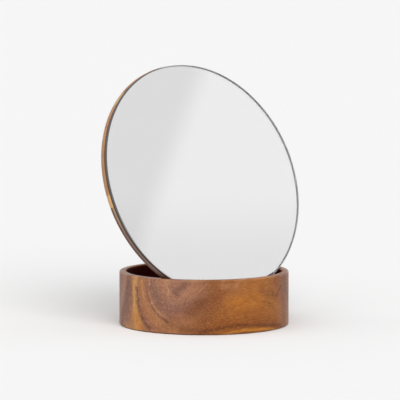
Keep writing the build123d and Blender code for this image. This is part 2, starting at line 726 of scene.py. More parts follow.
    def figure(self, place: Value) -> tuple[Value, Value]:
        """Draws the figure alone, before fibre and pores.

        Args:
            place: Object coordinates in millimetres.

        Returns:
            The colour, and the bent ring distance.
        """
        shaken = place.tremble(self.tremble, self.tremble_reach)
        distance, rings = self.ring_distance(shaken)
        right = rightward(place.tree)
        end_grain = (right * -1.0).rise(*self.left_reach).most(right.rise(*self.right_reach))
        end_on = right.math("ABSOLUTE")
        long_colour = rings.ramp(self.long_tones, self.ring_reach)
        end_colour = rings.ramp(self.end_tones, self.ring_reach)
        colour = mix(end_grain, long_colour, end_colour)
        *_, height = shaken.parts()
        for line in self.round_lines:
            colour = line.over(distance, end_on, height, colour)
        for line in self.bent_lines:
            colour = line.over(rings, end_on, height, colour)
        for streak in self.streaks:
            colour = streak.over(shaken, self.radius, colour)
        return colour, rings

    def fleck(self, place: Value, colour: Value) -> Value:
        """Speckles the end grain.

        Args:
            place: Object coordinates in millimetres.
            colour: Colour of the figure.

        Returns:
            The colour with light and dark flecks.
        """
        end_on = rightward(place.tree).math("ABSOLUTE")
        share = end_on.rise(*self.fleck_facing, 0.0, self.fleck_share)
        flecks = place.noise(self.flecks)
        colour = mix(flecks.rise(*self.pale_fleck_reach) * share, colour, self.pale_fleck)
        return mix(flecks.rise(*self.dark_fleck_reach) * share, colour, self.dark_fleck)

    def open_pores(self, place: Value, rings: Value) -> Value:
        """Tells where the pores are.

        Args:
            place: Object coordinates in millimetres.
            rings: Bent ring distance.

        Returns:
            1 in a pore, else 0.
        """
        patches = place.noise(self.patches)
        heart = rings.rise(*self.patch_rings, *self.patch_shares)
        return place.noise(self.pores).rise(*self.pore_reach) * patches.rise(*self.patch_reach) * heart

    def dish_matt_and_shade(self, distance: Value, height: Value) -> tuple[Value, Value]:
        """Tells where the wood is left matt, and where shade is painted into the dish.

        Args:
            distance: Distance from the tray's upright axis.
            height: Height above the table.

        Returns:
            1 in the dish and on its lip, else 0, where it is matt, and 1 in the dish alone, where shade is
            painted.
        """
        inside = distance.rise(*shifted(self.dish_side_reach, self.dish_radius))
        matt = inside * height.rise(*shifted(self.dish_floor_reach, self.dish_level))
        return matt, matt * height.rise(*shifted(self.dish_shade_top, self.rim_level))

    def surface(self, tree: Tree) -> Value:
        """Wood with its figure, fibre, pores and wear, matt in the dish and darkened there by painted
        shade.

        Args:
            tree: The material's tree.

        Returns:
            The shader.
        """
        place = millimetres(tree)
        colour, rings = self.figure(place)
        colour = self.fleck(place, colour)
        colour = self.growth.over(rings.ring_noise(self.years), colour)
        fibre = place.noise(self.fibre)
        colour = self.dark_fibre.over(fibre, colour)
        colour = self.pale_fibre.over(fibre, colour)
        pores = self.open_pores(place, rings)
        colour = mix(pores * self.pore_share, colour, self.pore_tone)

        across, depth, height = place.parts()
        distance = across.hypot(depth)
        matt, dish_shade = self.dish_matt_and_shade(distance, height)
        # Painted shade: the dish is darkened and reddened as if it lay in shadow
        colour = mix(dish_shade * self.dish_shade_share, colour, self.dish_shade_tone, "MULTIPLY")
        edge = (distance - self.radius).hypot(height - self.rim_level).rise(*self.wear_reach)
        worn = edge * place.noise(self.wear).rise(*self.worn_patch_reach) * self.worn_share
        colour = mix(worn, colour, self.worn_tone)
        polish = height.rise(*shifted(self.polish_reach, self.rim_level), 0.0, self.rim_polish)
        rough = fibre.rise(*NOISE_REACH, *self.rough) + pores * self.pore_rough - polish
        return self.oiled(colour, matt.scaled(self.dish_rough, rough), fibre, pores)


@dataclass(frozen=True)
class Plate:
    """Where a plate of the mirror lies along the mirror's own axes, in millimetres."""

    up: Point
    out: Point
    foot: float
    head: float
    back: float
    front: float


@dataclass(frozen=True, kw_only=True)
class BoardWood(OiledWood):
    """Flat-sawn board of the mirror's backing, pale along its foot, with painted shade on its lower rim and
    where it stands in the tray.
    """

    plate: Plate
    rim_level: float

    # Growth rings round a pith that bows along the board
    pith_up: float
    pith_out: float
    arch_middle: float
    arch: float = 0.0022
    slow_cloud: Cloud = Cloud((0.008, 0.02, 0.02))
    ring_warp: float = 16.0

    # Colours of the figure
    heart: Colour
    streak: Colour
    streak_years: Cloud = Cloud((0.13, 0.0, 0.0), 3.0, 0.6)
    streak_reach: Reach = (0.36, 0.66)
    gold: Colour
    gold_cloud: Cloud = Cloud((0.007, 0.035, 0.035))
    gold_reach: Reach = (0.46, 0.68)
    gold_share: float = 0.55
    years: Cloud = Cloud((0.6, 0.0, 0.0), 3.0, 0.6)
    growth: Veil = Veil(tone(90, 56, 40), 0.34, (0.5, 0.72))
    pale: Colour = tone(222, 178, 124)
    pale_width: float = 13.0
    pale_fade: float = 1.5
    edge_warp: float = 5.0
    fibre: Cloud = Cloud((0.05, 1.1, 1.1), 2.0, 0.6)
    dark_fibre: Veil = Veil(tone(96, 58, 34), 0.22, (0.35, 0.65))
    rough: Reach = (0.4, 0.52)
    pores: Cloud = Cloud((0.1, 1.4, 1.4), 1.0)
    pore_reach: Reach = (0.6, 0.7)
    pore_share: float = 0.5
    pore_tone: Colour = tone(70, 42, 28)

    # Worn front of the rim, painted shade that darkens the rim towards its foot, and painted shade where it
    # stands in the tray
    front_tone: Colour = tone(214, 174, 130)
    front_share: float = 0.0
    foot_shade_tone: Colour = tone(98, 80, 90)
    foot_shade_reach: Reach = (87.0, 70.0)
    foot_shade_share: float = 0.0
    rim_ease: float = 0.6
    tray_shade_tone: Colour = tone(44, 24, 20)
    tray_shade_share: float = 0.8
    tray_shade_reach: Reach = (10.0, -5.0)
    tray_shade_warp: float = 14.0

    def ring_distance(self, place: Value, slow: Value) -> Value:
        """Distance from the pith, which bows along the board and so draws arches on its face.

        Args:
            place: Object coordinates in millimetres.
            slow: Slow noise.

        Returns:
            The warped distance.
        """
        along = place.along(RIGHT) - self.arch_middle
        aside = place.along(self.plate.up) - self.pith_up
        below = (along * along).scaled(self.arch, place.along(self.plate.out) - self.pith_out)
        return slow.scaled(self.ring_warp, aside.hypot(below))

    def age_and_shade_rim(self, place: Value, slow: Value, colour: Value) -> Value:
        """Wears the rim's front, and paints shade on the rim towards its foot and on what stands in the
        tray.

        Args:
            place: Object coordinates in millimetres.
            slow: Slow noise.
            colour: Colour so far.

        Returns:
            The worn colour, with painted shade.
        """
        back, front = self.plate.back, self.plate.front
        depth = place.along(self.plate.out)
        colour = mix(depth.rise((back + front) / 2, front, 0.0, self.front_share), colour, self.front_tone)
        # Painted shade: the rim darkens towards the board's foot
        above_foot = place.along(self.plate.up) - self.plate.foot
        low = depth.rise(back, back + self.rim_ease) * above_foot.rise(*self.foot_shade_reach, 0.0, self.foot_shade_share)
        colour = mix(low, colour, self.foot_shade_tone)
        # Painted shade: dark where the board stands below the tray's rim
        height = slow.scaled(self.tray_shade_warp, place.along(UP))
        tray_shade = height.rise(*shifted(self.tray_shade_reach, self.rim_level), 0.0, self.tray_shade_share)
        return mix(tray_shade, colour, self.tray_shade_tone)

    def surface(self, tree: Tree) -> Value:
        """Wood with arches, golden clouds, fibre and pores.

        Args:
            tree: The material's tree.

        Returns:
            The shader.
        """
        place = millimetres(tree)
        slow = place.noise(self.slow_cloud) - MID_NOISE
        rings = self.ring_distance(place, slow)
        streaks = rings.ring_noise(self.streak_years).rise(*self.streak_reach)
        colour = mix(streaks, self.heart, self.streak)
        golden = place.noise(self.gold_cloud).rise(*self.gold_reach, 0.0, self.gold_share)
        colour = mix(golden, colour, self.gold)
        colour = self.growth.over(rings.ring_noise(self.years), colour)
        climb = place.along(self.plate.up) - slow.scaled(self.edge_warp, self.plate.foot + self.pale_width)
        colour = mix(climb.rise(self.pale_fade, -self.pale_fade), colour, self.pale)
        fibre = place.noise(self.fibre)
        colour = self.dark_fibre.over(fibre, colour)
        pores = place.noise(self.pores).rise(*self.pore_reach)
        colour = mix(pores * self.pore_share, colour, self.pore_tone)
        colour = self.age_and_shade_rim(place, slow, colour)
        return self.oiled(colour, fibre.rise(*NOISE_REACH, *self.rough), fibre, pores)


@dataclass(frozen=True, kw_only=True)
class LowerBoard(BoardWood):
    """Dark board at the mirror's foot, with no pale edge."""

    name: str = "oiled_lower_board"
    pith_up: float = 62.0
    pith_out: float = 12.0
    arch_middle: float = 34.0
    heart: Colour = tone(134, 102, 86)
    streak: Colour = tone(106, 80, 68)
    gold: Colour = tone(146, 106, 78)
    pale_width: float = -10.0
    front_tone: Colour = tone(186, 154, 122)
    front_share: float = 0.8
    # Share of the painted shade towards the foot of the rim
    foot_shade_share: float = 0.55


@dataclass(frozen=True, kw_only=True)
class MiddleBoard(BoardWood):
    """Light board across the mirror's middle."""

    name: str = "oiled_middle_board"
    pith_up: float = 150.0
    pith_out: float = 10.0
    arch_middle: float = -28.0
    heart: Colour = tone(194, 149, 110)
    streak: Colour = tone(166, 122, 90)
    gold: Colour = tone(202, 154, 102)


@dataclass(frozen=True, kw_only=True)
class UpperBoard(BoardWood):
    """Light board at the mirror's head."""

    name: str = "oiled_upper_board"
    pith_up: float = 250.0
    pith_out: float = 14.0
    arch_middle: float = 46.0
    heart: Colour = tone(188, 146, 104)
    streak: Colour = tone(162, 118, 82)
    gold: Colour = tone(200, 156, 104)
    pale: Colour = tone(204, 168, 124)


@dataclass(frozen=True, kw_only=True)
class ClearGlass(Finish):
    """Polished float glass, faintly green through its depth."""

    name: str = "polished_glass"
    colour: Colour = grey(0.992)
    haze: Cloud = Cloud(even(0.02))
    haze_reach: Reach = (0.4, 0.8)
    rough: Reach = (0.0, 0.004)
    refraction: float = 1.52
    depth_colour: Colour = (0.93, 0.95, 0.94, 1.0)
    depth_density: float = 4.0

    def surface(self, tree: Tree) -> Value:
        """Clear surface with a trace of haze.

        Args:
            tree: The material's tree.

        Returns:
            The shader.
        """
        rough = millimetres(tree).noise(self.haze).rise(*self.haze_reach, *self.rough)
        inputs = {"Base Color": self.colour, "Roughness": rough, "IOR": self.refraction}
        return rough.then("BsdfPrincipled", {**inputs, "Transmission Weight": 1.0})

    def inside(self, tree: Tree) -> dict[str, Value]:
        """Glass that takes up a little light."""
        inputs = {"Color": self.depth_colour, "Density": self.depth_density}
        return {"Volume": Value(add_node(tree, "VolumeAbsorption", inputs))}


@dataclass(frozen=True, kw_only=True)
class GroundEdge(Finish):
    """Seamed edge of the glass: dark brown at the left, with light painted on it that makes it pale grey
    towards the right, at the foot and on the lower bevel.
    """

    plate: Plate
    bevel: float
    name: str = "ground_glass_edge"
    dark: Colour = tone(58, 46, 38)
    light: Colour = tone(90, 86, 88)
    # Painted highlight on the lower part of the bevel
    bevel_highlight: Colour = tone(222, 221, 219)
    bevel_highlight_reach: Reach = (-15.0, -90.0)
    bevel_highlight_shares: Reach = (0.75, 0.4)
    # Painted light: grey, then pale, towards the right and at the foot
    clear: Colour = tone(146, 145, 143)
    lit_side_reach: Reach = (5.0, 50.0)
    lit_side_climb: float = 0.5
    brightest_lit_tone: Colour = tone(226, 225, 223)
    brightest_lit_reach: Reach = (22.0, 62.0)
    lit_foot_reach: Reach = (-78.0, -96.0)
    lit_foot_aside: Reach = (-30.0, 0.0)
    grit: Cloud = Cloud(even(1.6), 3.0, 0.6)
    specks: Veil = Veil(tone(140, 138, 134), 0.2, (0.4, 0.7))
    rough: Reach = (0.4, 0.55)
    shine: float = 0.2
    relief: Relief = Relief(0.25, 0.03 * MM)

    def surface(self, tree: Tree) -> Value:
        """Ground glass with painted light, darkest at the left and brightest at the right and at the foot.

        Args:
            tree: The material's tree.

        Returns:
            The shader.
        """
        back, front = self.plate.back, self.plate.front
        middle = (self.plate.foot + self.plate.head) / 2
        # Direction towards the side where light is painted
        rightward = Vector(RIGHT) + Vector(self.plate.up) * self.lit_side_climb
        place = millimetres(tree)
        depth = place.along(self.plate.out)
        grit = place.noise(self.grit)
        colour = mix(depth.rise(back, front), self.dark, self.light)
        climb = place.along(self.plate.up) - middle
        # Painted highlight on the lower bevel
        on_bevel = depth.rise(*(front - self.bevel * share for share in self.bevel_highlight_shares))
        colour = mix(on_bevel * climb.rise(*self.bevel_highlight_reach), colour, self.bevel_highlight)
        # Painted light, brighter towards the right and brightest there and at the foot
        aside = place.along(rightward) - middle * self.lit_side_climb
        colour = mix(aside.rise(*self.lit_side_reach), colour, self.clear)
        foot = climb.rise(*self.lit_foot_reach) * aside.rise(*self.lit_foot_aside)
        colour = mix(aside.rise(*self.brightest_lit_reach).most(foot), colour, self.brightest_lit_tone)
        inputs = {
            "Base Color": self.specks.over(grit, colour),
            "Roughness": grit.rise(*NOISE_REACH, *self.rough),
            "Specular IOR Level": self.shine,
            "Normal": grit.bump(self.relief),
        }
        return place.then("BsdfPrincipled", inputs)


@dataclass(frozen=True, kw_only=True)
class MirrorSilver(Finish):
    """Silver coat, seen through the glass."""

    name: str = "mirror_silver"
    colour: Colour = grey(0.935)
    cloud: Cloud = Cloud(even(0.015))
    shade: Veil = Veil(grey(0.86), 0.05, (0.4, 0.7))

    def surface(self, tree: Tree) -> Value:
        """Polished silver with faint clouds."""
        colour = self.shade.over(millimetres(tree).noise(self.cloud), self.colour)
        return colour.then("BsdfPrincipled", {"Base Color": colour, "Metallic": 1.0, "Roughness": 0.0})


@dataclass(frozen=True, kw_only=True)
class Coat(Finish):
    """Matt surface whose roughness and relief follow a fine texture."""

    colour: Colour
    rough: Reach
    relief: Relief
    rough_reach: Reach = NOISE_REACH

    def matt(self, colour: Value, texture: Value, more: Inputs) -> Value:
        """Shader of a colour and a texture, with further inputs by name."""
        inputs = {"Base Color": colour, "Roughness": texture.rise(*self.rough_reach, *self.rough), **more}
        return colour.then("BsdfPrincipled", {**inputs, "Normal": texture.bump(self.relief)})


@dataclass(frozen=True, kw_only=True)
class BackPaint(Coat):
    """Protective paint over the back and rim of the silver, cloudy and a little uneven."""

    name: str = "grey_back_paint"
    colour: Colour = tone(96, 92, 88)
    peel: Cloud = Cloud(even(0.7))
    cloud: Cloud = Cloud(even(0.03), 3.0)
    shade: Veil = Veil(tone(78, 74, 70), 0.5, (0.35, 0.65))
    rough: Reach = (0.5, 0.65)
    relief: Relief = Relief(0.3, 0.05 * MM)

    def surface(self, tree: Tree) -> Value:
        """Sprayed paint."""
        place = millimetres(tree)
        return self.matt(self.shade.over(place.noise(self.cloud), self.colour), place.noise(self.peel), {})


@dataclass(frozen=True, kw_only=True)
class FoamTape(Coat):
    """White foam of the double-sided tape, with fine cells."""

    name: str = "white_foam_tape"
    colour: Colour = tone(222, 222, 216)
    cell_scale: float = 3.0
    cell_walls: Veil = Veil(tone(184, 182, 174), 0.4, (0.2, 0.8))
    rough_reach: Reach = (0.1, 0.8)
    rough: Reach = (0.7, 0.85)
    relief: Relief = Relief(0.4, 0.08 * MM)

    def surface(self, tree: Tree) -> Value:
        """Cut foam.

        Args:
            tree: The material's tree.

        Returns:
            The shader.
        """
        place = millimetres(tree)
        cells = place.then("TexVoronoi", {"Vector": place, "Scale": self.cell_scale}, "Distance")
        return self.matt(self.cell_walls.over(cells, self.colour), cells, {})


@dataclass(frozen=True, kw_only=True)
class PressedFelt(Coat):
    """Brown pressed felt of the pads, of fine hair with a soft sheen."""

    name: str = "brown_pressed_felt"
    colour: Colour = tone(92, 76, 66)
    hair: Cloud = Cloud(even(2.6), 5.0, 0.7, 1.6)
    pale_hair: Veil = Veil(tone(124, 106, 92), 1.0, (0.35, 0.65))
    cloud: Cloud = Cloud(even(0.35), 3.0)
    shade: Veil = Veil(tone(64, 54, 48), 0.4, (0.4, 0.7))
    rough: Reach = (0.85, 0.98)
    sheen: float = 0.35
    sheen_rough: float = 0.6
    relief: Relief = Relief(0.8, 0.25 * MM)

    def surface(self, tree: Tree) -> Value:
        """Hair with slow clouds.

        Args:
            tree: The material's tree.

        Returns:
            The shader.
        """
        place = millimetres(tree)
        hair = place.noise(self.hair)
        colour = self.pale_hair.over(hair, self.colour)
        colour = self.shade.over(place.noise(self.cloud), colour)
        return self.matt(colour, hair, {"Sheen Weight": self.sheen, "Sheen Roughness": self.sheen_rough})


@dataclass(frozen=True, kw_only=True)
class FloorPaper(Finish):
    """Pale paper of the floor, which throws less light at the object than it shows to the eye."""

    name: str = "pale_floor_paper"
    shown: float = 0.92
    bounce: float = 0.60

    def surface(self, tree: Tree) -> Value:
        """Plain matt paper."""
        colour = mix(seen_or_mirrored(tree), grey(self.bounce), grey(self.shown))
        return colour.then("BsdfDiffuse", {"Color": colour})


class Piece:
    """One mesh on the bench, shaped with operators as by hand."""

    body: Body

    def __init__(self, name: str, add: Callable[..., set[str]], **primitive: object) -> None:
        """Starts from a primitive.

        Args:
            name: Name of the piece.
            add: Operator that adds the primitive.
            **primitive: The operator's own settings.
        """
        bpy.ops.object.select_all(action="DESELECT")
        add(**primitive)
        self.object = bpy.context.active_object
        self.object.name = name
        self.object.data.name = name
        bpy.ops.object.transform_apply(location=True, rotation=True, scale=True)

    @classmethod
    def round(
        cls, name: str, sides: int, radius: float, span: Reach, centre: Sequence[float] = (0.0, 0.0)
    ) -> "Piece":
        """Starts from an upright cylinder.

        Args:
            name: Name of the piece.
            sides: Facets round it.
            radius: Its radius.
            span: Heights of its foot and head.
            centre: Where its axis stands.

        Returns:
            The piece.
        """
        shape = {"vertices": sides, "radius": radius, "depth": span[1] - span[0]}
        place = (*centre, (span[0] + span[1]) / 2)
        return cls(name, bpy.ops.mesh.primitive_cylinder_add, location=place, **shape)

    def activate(self) -> None:
        """Makes this the only selected object."""
        bpy.ops.object.select_all(action="DESELECT")
        self.object.select_set(True)
        bpy.context.view_layer.objects.active = self.object

    @contextmanager
    def editing(self, pick: Pick, test: Callable[..., bool] | None = None) -> Iterator[None]:
        """Edit mode with some of the mesh picked.

        Args:
            pick: What is picked.
            test: True for an edge or face that is picked; without a test, all of them are.

        Yields:
            Nothing.
        """
        self.activate()
        bpy.ops.object.mode_set(mode="EDIT")
        bpy.ops.mesh.select_mode(type=pick.value)
        bpy.ops.mesh.select_all(action="DESELECT" if test else "SELECT")
        if test:
            mesh = bmesh.from_edit_mesh(self.object.data)
            for part in filter(test, mesh.edges if pick is Pick.EDGES else mesh.faces):
                part.select_set(True)
            bmesh.update_edit_mesh(self.object.data)
        yield
        bpy.ops.object.mode_set(mode="OBJECT")

    def round_ring(self, radius: float, level: float, width: float, steps: int) -> None:
        """Rounds the edge that lies on a circle about the piece's upright axis.

        Args:
            radius: The circle's radius.
            level: Its height.
            width: Width of the rounding, the same on both faces.
            steps: Facets of the rounding.
        """
        with self.editing(Pick.EDGES, lambda edge: on_ring(edge, radius, level)):
            bpy.ops.mesh.bevel(offset=width, segments=steps, affect="EDGES", clamp_overlap=False)

    def part_finishes(self, test: Callable[[bpy.types.MeshPolygon], bool]) -> None:
        """Gives material 0 to the faces that pass a test, and material 1 to the rest."""
        for face in self.object.data.polygons:
            face.material_index = 0 if test(face) else 1

    def cut(self, cutter: "Piece") -> None:
        """Takes the cutter's shape out of this piece.

        Args:
            cutter: Closed piece, used up by the cut.
        """
        self.activate()
        boolean = self.object.modifiers.new("cut", "BOOLEAN")
        boolean.operation = "DIFFERENCE"
        boolean.solver = "EXACT"
        boolean.object = cutter.object
        bpy.ops.object.modifier_apply(modifier=boolean.name)
        bpy.data.objects.remove(cutter.object)

    def place(self, matrix: Matrix) -> None:
        """Moves the mesh into place and leaves the object at the origin.

        Args:
            matrix: From where it was modelled to where it belongs.
        """
        self.activate()
        self.object.matrix_world = matrix
        bpy.ops.object.transform_apply(location=True, rotation=True, scale=True)

    def smooth(self, angle: float) -> None:
        """Shades smoothly across edges that are flatter than an angle, in degrees."""
        self.activate()
        bpy.ops.object.shade_smooth_by_angle(angle=math.radians(angle))

    def dress(self, *materials: bpy.types.Material) -> None:
        """Gives the piece its materials, one for each material index."""
        for material in materials:
            self.object.data.materials.append(material)

    def hand_in(self, body: Body, slot: Slot, node: str) -> None:
        """Makes the piece part of the object.

        Args:
            body: Body that it moves with.
            slot: Slot that its finish comes from; not used.
            node: CAD node that it stands for.
        """
        self.body = body
        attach(self.object, body.value)
        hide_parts(node)


def on_ring(edge: bmesh.types.BMEdge, radius: float, level: float) -> bool:
    """Tells if both ends of an edge lie on a circle about the upright axis, at a level."""
    places = [(vert.co.xy.length - radius, vert.co.z - level) for vert in edge.verts]
    return all(abs(aside) < SLACK and abs(above) < SLACK for aside, above in places)


@dataclass(frozen=True)
class Lean:
    """The mirror's own frame: right along X, up the leaning face and out of the glass."""

    up: Vector

    @property
    def right(self) -> Vector:
        """Direction to the right of a person who looks into the mirror."""
        return Vector(RIGHT)

    @property
    def out(self) -> Vector:
        """Direction out of the glass."""
        return self.right.cross(self.up)

    @property
    def turn(self) -> Matrix:
        """Turn from the mirror's own frame to the part's."""
        return Matrix((self.right, self.up, self.out)).transposed().to_4x4()

    def span(self, node: str, axis: Axis) -> Reach:
        """Where a CAD node starts and ends along an axis of the mirror.

        Args:
            node: Name of the CAD node.
            axis: The axis.

        Returns:
            Lowest and highest place.
        """
        direction = (self.right, self.up, self.out)[axis.value]
        places = [direction.dot(vert.co) for vert in frame["nodes"][node].data.vertices]
        return min(places), max(places)

    def middle(self, node: str, axis: Axis) -> float:
        """Middle of a CAD node along an axis of the mirror."""
        return sum(self.span(node, axis)) / 2

    def width(self, node: str, axis: Axis) -> float:
        """Size of a CAD node along an axis of the mirror."""
        low, high = self.span(node, axis)
        return high - low

    def plate(self, node: str) -> Plate:
        """Place of a CAD node, for its finish."""
        ends = (*self.span(node, Axis.UP), *self.span(node, Axis.OUT))
        return Plate(tuple(self.up), tuple(self.out), *(end / MM for end in ends))


@dataclass
class Tray:
    """Turned tray with a dish, a leaning slot for the mirror and pockets for the felt pads."""

    lean: Lean
    segments: int = 320
    wall: float = 7.2 * MM
    dish_depth: float = 16.0 * MM
    cove: float = 6.0 * MM
    cove_steps: int = 10
    lip_round: float = 0.9 * MM
    lip_steps: int = 4
    rim_round: float = 1.4 * MM
    rim_steps: int = 6
    foot_round: float = 1.2 * MM
    foot_steps: int = 4
    slot_segments: int = 640
    slot_edge_room: float = 0.4 * MM
    slot_face_room: float = 0.25 * MM
    pocket_room: float = 0.2 * MM
    pocket_segments: int = 64
    smooth_angle: float = 32.0

    def __post_init__(self) -> None:
        """Reads the tray's main sizes from the frame."""
        low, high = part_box("tray")
        self.radius = (high.x - low.x) / 2
        self.base_level = low.z
        self.rim_level = high.z
        self.dish_level = high.z - self.dish_depth
        self.dish_radius = self.radius - self.wall

    def build(self) -> list[Piece]:
        """Turns the tray, cuts its slot and pockets, and dresses it.

        Returns:
            The tray alone.
        """
        tray = self.turned_block()
        self.cut_slot(tray)
        for pad in PADS:
            self.cut_pocket(tray, pad)
        tray.smooth(self.smooth_angle)
        self.dress(tray)
        return [tray]

    def turned_block(self) -> Piece:
        """Models the tray as it comes off the lathe.

        Returns:
            The block with its dish and rounded edges.
        """
        tray = Piece.round("turned_tray", self.segments, self.radius, (self.base_level, self.rim_level))
        with tray.editing(Pick.FACES, lambda face: face.normal.z > FACING):
            bpy.ops.mesh.inset(thickness=self.wall)
            bpy.ops.mesh.extrude_region_move(TRANSFORM_OT_translate={"value": (0.0, 0.0, -self.dish_depth)})
        tray.round_ring(self.dish_radius, self.dish_level, self.cove, self.cove_steps)
        tray.round_ring(self.dish_radius, self.rim_level, self.lip_round, self.lip_steps)
        tray.round_ring(self.radius, self.rim_level, self.rim_round, self.rim_steps)
        tray.round_ring(self.radius, self.base_level, self.foot_round, self.foot_steps)
        return tray

    def cut_slot(self, tray: Piece) -> None:
        """Cuts the leaning slot, whose round bottom follows the mirror's own edge.

        Args:
            tray: The turned block.
        """
        foot, _ = self.lean.span("lower_backing_board", Axis.UP)
        back, _ = self.lean.span("lower_backing_board", Axis.OUT)
        _, front = self.lean.span("mirror_glass", Axis.OUT)
        radius = self.lean.width("middle_backing_board", Axis.RIGHT) / 2
        room = (back - self.slot_face_room, front + self.slot_face_room)
        edge = radius + self.slot_edge_room
        cutter = Piece.round("slot_cutter", self.slot_segments, edge, room, (0.0, foot + radius))
        cutter.place(self.lean.turn)
        tray.cut(cutter)

    def cut_pocket(self, tray: Piece, pad: str) -> None:
        """Cuts the pocket of one felt pad.

        Args:
            tray: The turned block.
            pad: CAD node of the pad.
        """
        low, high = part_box(pad)
        centre = (low.xy + high.xy) / 2
        radius = (high.x - low.x) / 2 + self.pocket_room
        tray.cut(Piece.round("pocket_cutter", self.pocket_segments, radius, (-high.z, high.z), centre))

    def dress(self, tray: Piece) -> None:
        """Gives the tray its finish.

        Args:
            tray: The finished piece.
        """
        wood = TurnedHardwood(
            radius=self.radius / MM,
            rim_level=self.rim_level / MM,
            dish_radius=self.dish_radius / MM,
            dish_level=self.dish_level / MM,
        )
        tray.dress(wood.material())
        tray.hand_in(Body.TRAY, Slot.TRAY_WOOD, "tray")


@dataclass
class FeltPads:
    """Round felt pads under the tray."""

    segments: int = 72
    edge_round: float = 0.45 * MM
    edge_steps: int = 3
    side_rows: int = 3
    fuzz: float = 0.05 * MM
    fill: float = 1.0
    smooth_angle: float = 40.0

    def build(self) -> list[Piece]:
        """Models every pad, each with its own mesh, and dresses them.

        Returns:
            The pads, in the order of their names.
        """
        pads = [self.pad(name, number) for number, name in enumerate(PADS)]
        self.dress(pads)
        return pads

    def pad(self, name: str, seed: int) -> Piece:
        """Models one pad.

        Args:
            name: CAD node that it stands for.
            seed: Seed of its uneven side.

        Returns:
            The pad.
        """
        low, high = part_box(name)
        centre = (low + high) / 2
        radius = (high.x - low.x) / 2 - 2 * self.fuzz
        pad = Piece.round(f"felt_{name}", self.segments, radius, (low.z, high.z))
        pad.round_ring(radius, low.z, self.edge_round, self.edge_steps)
        pad.round_ring(radius, high.z, self.edge_round, self.edge_steps)
        with pad.editing(Pick.FACES, lambda face: abs(face.normal.z) < SIDEWAYS):
            bpy.ops.mesh.subdivide(number_cuts=self.side_rows)
            bpy.ops.transform.vertex_random(offset=self.fuzz, uniform=0.0, normal=1.0, seed=seed)
        pad.place(Matrix.Translation((centre.x, centre.y, 0.0)))
        pad.smooth(self.smooth_angle)
        return pad

    def dress(self, pads: Sequence[Piece]) -> None:
        """Gives the pads their finish.

        Args:
            pads: The pads, in the order of their names.
        """
        felt = PressedFelt().material()
        for name, pad in zip(PADS, pads):
            pad.dress(felt)
            pad.hand_in(Body.TRAY, Slot.FELT, name)


